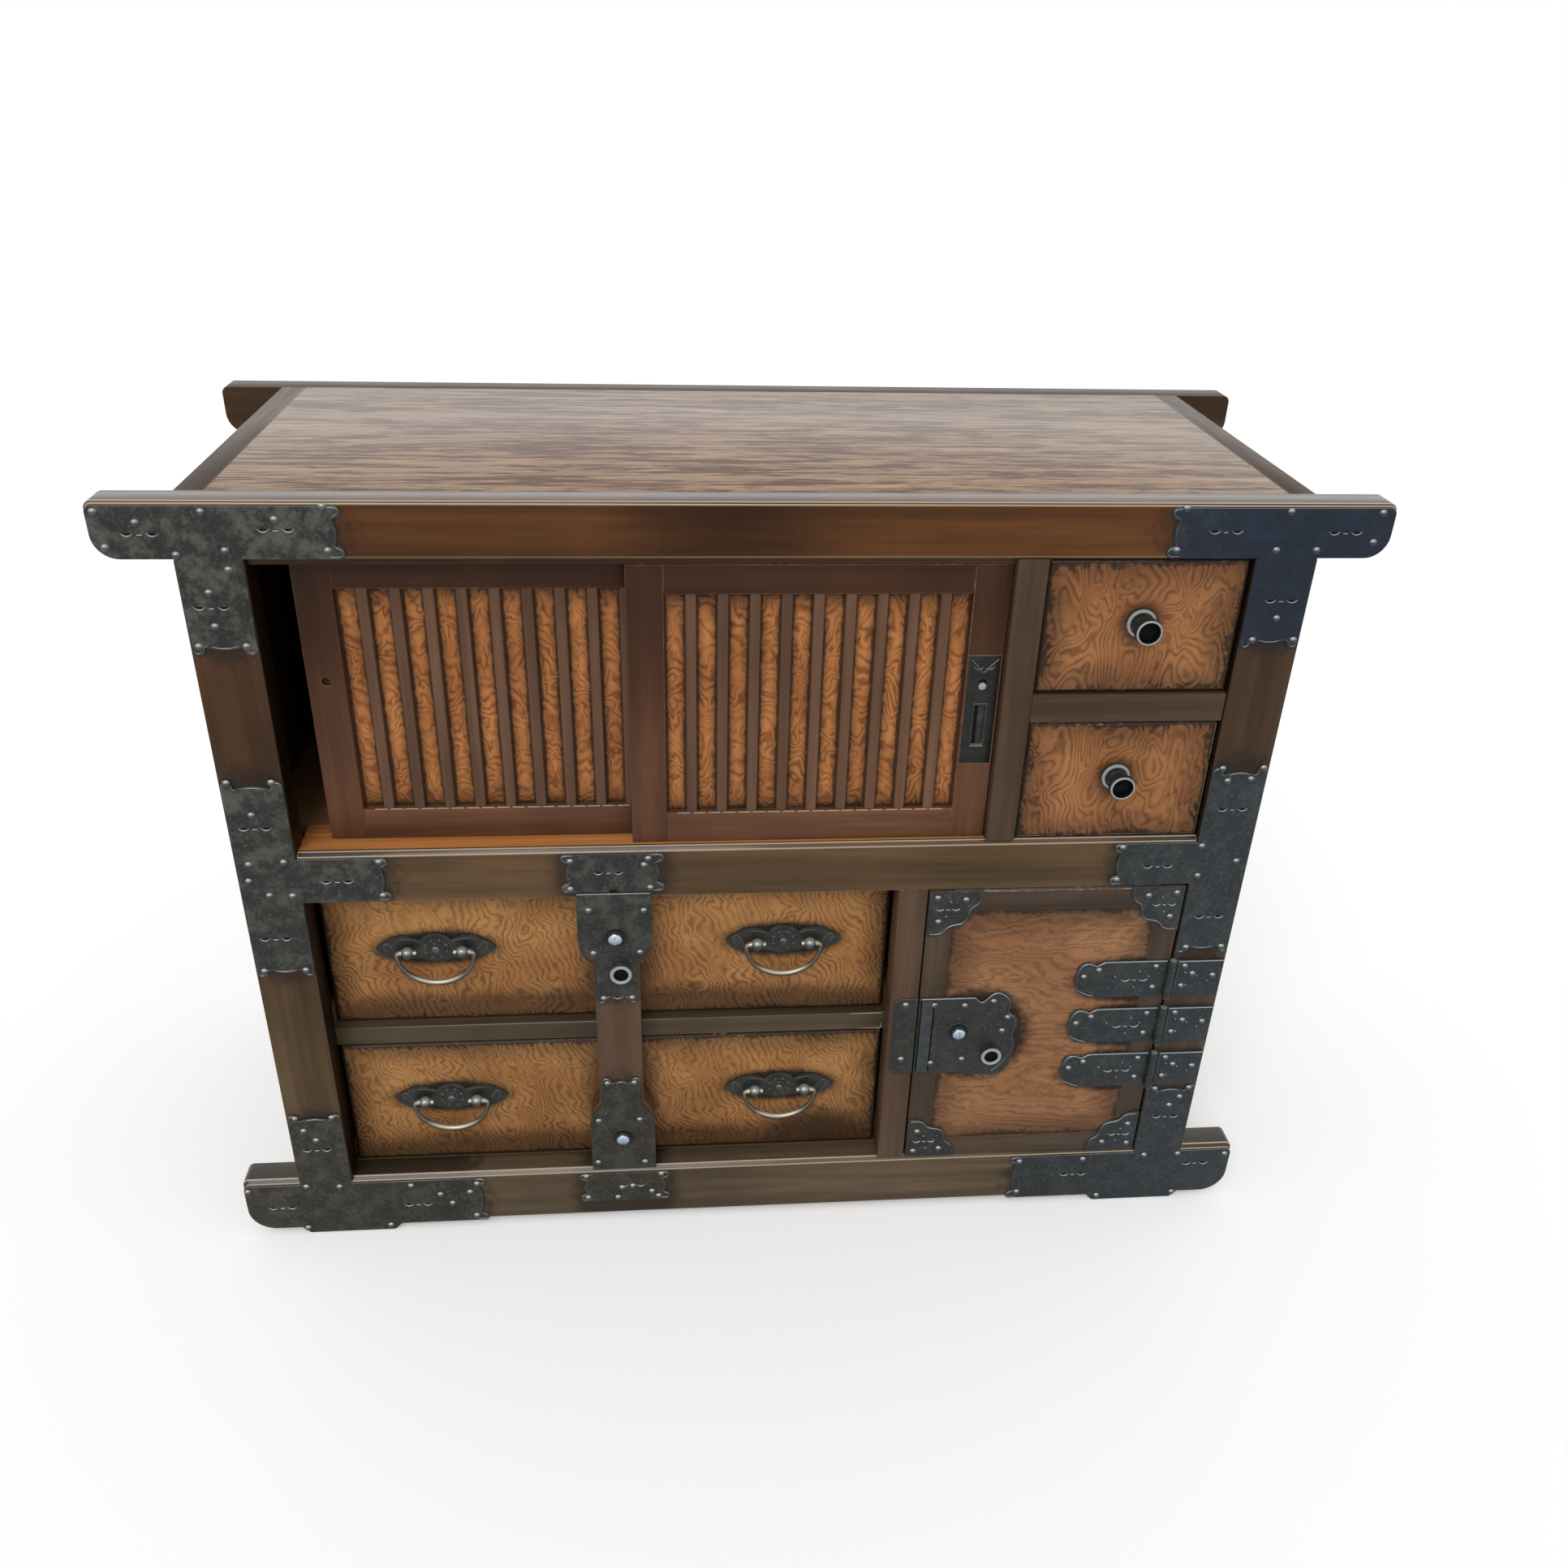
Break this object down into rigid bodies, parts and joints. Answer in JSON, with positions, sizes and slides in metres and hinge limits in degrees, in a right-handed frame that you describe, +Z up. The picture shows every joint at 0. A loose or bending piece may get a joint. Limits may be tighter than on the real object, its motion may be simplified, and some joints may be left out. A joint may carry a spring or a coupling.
{
  "type": "merchant chest",
  "caption": "Low framed wooden chest with boat-ended rails, slatted sliding doors, small and wide drawers, a removable locking bar, and a hinged strong door.",
  "frame": {"origin": "centre of the whole bounding box on the floor, under the feet", "axes": "+X to the right along the long rails, +Y to the back, +Z up; the front with doors and drawers looks along -Y"},
  "size_m": [1.206, 0.491, 0.904],
  "materials": {
    "frame_lacquer": "dark brown satin lacquer",
    "door_lacquer": "dark grey-brown satin lacquer",
    "burl_wood": "clear-lacquered figured burl",
    "inner_wood": "plain matt wood",
    "black_iron": "black satin iron",
    "polished_iron": "worn iron",
    "steel": "brushed"
  },
  "bodies": {
    "carcass": {"back_panels": "inner_wood", "bottom_board": "inner_wood", "corner_irons": "black_iron", "drawer_runners": "inner_wood", "feet": "frame_lacquer", "frame_nails": "polished_iron", "front_bottom_rail": "frame_lacquer", "front_left_post": "frame_lacquer", "front_mid_rail": "frame_lacquer", "front_right_post": "frame_lacquer", "front_top_rail": "frame_lacquer", "hinge_pins": "black_iron", "keeper_plates": "black_iron", "lower_divider": "frame_lacquer", "mid_board": "inner_wood", "post_hinge_leaves": "black_iron", "rear_frame": "frame_lacquer", "side_panels": "frame_lacquer", "side_rails": "frame_lacquer", "sliding_door_tracks": "inner_wood", "small_drawer_rail": "frame_lacquer", "top_panel": "frame_lacquer", "upper_divider": "frame_lacquer", "wide_drawer_rail": "frame_lacquer"},
    "left_door": {"left_door_frame": "door_lacquer", "left_door_panel": "burl_wood", "left_door_slats": "door_lacquer"},
    "right_door": {"right_door_frame": "door_lacquer", "right_door_panel": "burl_wood", "right_door_slats": "door_lacquer", "right_door_lock_plate": "black_iron"},
    "upper_small_drawer": {"upper_small_drawer_front": "burl_wood", "upper_small_drawer_box": "inner_wood", "upper_small_drawer_knob": "black_iron"},
    "lower_small_drawer": {"lower_small_drawer_front": "burl_wood", "lower_small_drawer_box": "inner_wood", "lower_small_drawer_knob": "black_iron"},
    "upper_wide_drawer": {"upper_wide_drawer_front": "burl_wood", "upper_wide_drawer_box": "inner_wood", "upper_wide_drawer_handle_plates": "black_iron"},
    "lower_wide_drawer": {"lower_wide_drawer_front": "burl_wood", "lower_wide_drawer_box": "inner_wood", "lower_wide_drawer_handle_plates": "black_iron"},
    "locking_bar": {"lock_bar": "frame_lacquer", "lock_bar_irons": "black_iron", "lock_bar_pull": "black_iron"},
    "upper_bar_lock": {"lock_bar_upper_cylinder": "polished_iron"},
    "lower_bar_lock": {"lock_bar_lower_cylinder": "polished_iron"},
    "upper_bar_bolt": {"lock_bar_upper_bolt": "steel"},
    "lower_bar_bolt": {"lock_bar_lower_bolt": "steel"},
    "strong_door": {"safe_door_frame": "door_lacquer", "safe_door_panel": "burl_wood", "safe_door_irons": "black_iron", "safe_door_pull": "black_iron"},
    "strong_door_lock": {"safe_door_cylinder": "polished_iron"},
    "strong_door_bolt": {"safe_door_bolt": "steel"},
    "upper_left_bail": {"upper_wide_drawer_left_bail": "polished_iron"},
    "upper_right_bail": {"upper_wide_drawer_right_bail": "polished_iron"},
    "lower_left_bail": {"lower_wide_drawer_left_bail": "polished_iron"},
    "lower_right_bail": {"lower_wide_drawer_right_bail": "polished_iron"}
  },
  "joints": [
    {"name": "left_door_slide", "type": "slide", "parent": "carcass", "child": "left_door", "axis": [1, 0, 0], "range_m": [-0.029, 0.31]},
    {"name": "right_door_slide", "type": "slide", "parent": "carcass", "child": "right_door", "axis": [-1, 0, 0], "range_m": [0, 0.339]},
    {"name": "upper_small_drawer_slide", "type": "slide", "parent": "carcass", "child": "upper_small_drawer", "axis": [0, -1, 0], "range_m": [0, 0.3]},
    {"name": "lower_small_drawer_slide", "type": "slide", "parent": "carcass", "child": "lower_small_drawer", "axis": [0, -1, 0], "range_m": [0, 0.3]},
    {"name": "upper_wide_drawer_slide", "type": "slide", "parent": "carcass", "child": "upper_wide_drawer", "axis": [0, -1, 0], "range_m": [0, 0.3]},
    {"name": "lower_wide_drawer_slide", "type": "slide", "parent": "carcass", "child": "lower_wide_drawer", "axis": [0, -1, 0], "range_m": [0, 0.3]},
    {"name": "locking_bar_removal", "type": "slide", "parent": "carcass", "child": "locking_bar", "axis": [0, -1, 0], "range_m": [0, 0.45]},
    {"name": "strong_door_hinge", "type": "hinge", "parent": "carcass", "child": "strong_door", "pos_m": [0.472, -0.2271, 0.282], "axis": [0, 0, 1], "range_deg": [0, 170]},
    {"name": "upper_left_bail_swing", "type": "hinge", "parent": "upper_wide_drawer", "child": "upper_left_bail", "pos_m": [-0.352, -0.1928, 0.3875], "axis": [-1, 0, 0], "range_deg": [0, 95]},
    {"name": "upper_right_bail_swing", "type": "hinge", "parent": "upper_wide_drawer", "child": "upper_right_bail", "pos_m": [0.032, -0.1928, 0.3875], "axis": [-1, 0, 0], "range_deg": [0, 95]},
    {"name": "lower_left_bail_swing", "type": "hinge", "parent": "lower_wide_drawer", "child": "lower_left_bail", "pos_m": [-0.352, -0.2018, 0.1805], "axis": [-1, 0, 0], "range_deg": [0, 95]},
    {"name": "lower_right_bail_swing", "type": "hinge", "parent": "lower_wide_drawer", "child": "lower_right_bail", "pos_m": [0.032, -0.2018, 0.1805], "axis": [-1, 0, 0], "range_deg": [0, 95]},
    {"name": "upper_bar_lock_turn", "type": "hinge", "parent": "locking_bar", "child": "upper_bar_lock", "pos_m": [-0.1535, -0.2225, 0.425], "axis": [0, 1, 0], "range_deg": [0, 90]},
    {"name": "upper_bar_bolt_throw", "type": "slide", "parent": "locking_bar", "child": "upper_bar_bolt", "axis": [0, 0, 1], "range_m": [0, 0.008]},
    {"name": "lower_bar_lock_turn", "type": "hinge", "parent": "locking_bar", "child": "lower_bar_lock", "pos_m": [-0.1535, -0.2225, 0.137], "axis": [0, 1, 0], "range_deg": [0, 90]},
    {"name": "lower_bar_bolt_throw", "type": "slide", "parent": "locking_bar", "child": "lower_bar_bolt", "axis": [0, 0, -1], "range_m": [0, 0.008]},
    {"name": "strong_door_lock_turn", "type": "hinge", "parent": "strong_door", "child": "strong_door_lock", "pos_m": [0.234, -0.2225, 0.28], "axis": [0, 1, 0], "range_deg": [0, 90]},
    {"name": "strong_door_bolt_throw", "type": "slide", "parent": "strong_door", "child": "strong_door_bolt", "axis": [-1, 0, 0], "range_m": [0, 0.008]}
  ],
  "couplings": [
    {"joint": "upper_wide_drawer_slide", "follows": "lower_wide_drawer_slide", "ratio": 1},
    {"joint": "locking_bar_removal", "follows": "lower_wide_drawer_slide", "ratio": 1.5},
    {"joint": "upper_bar_lock_turn", "follows": "upper_bar_bolt_throw", "rad_per_m": 196.3},
    {"joint": "lower_bar_lock_turn", "follows": "lower_bar_bolt_throw", "rad_per_m": 196.3},
    {"joint": "strong_door_lock_turn", "follows": "strong_door_bolt_throw", "rad_per_m": 196.3}
  ]
}
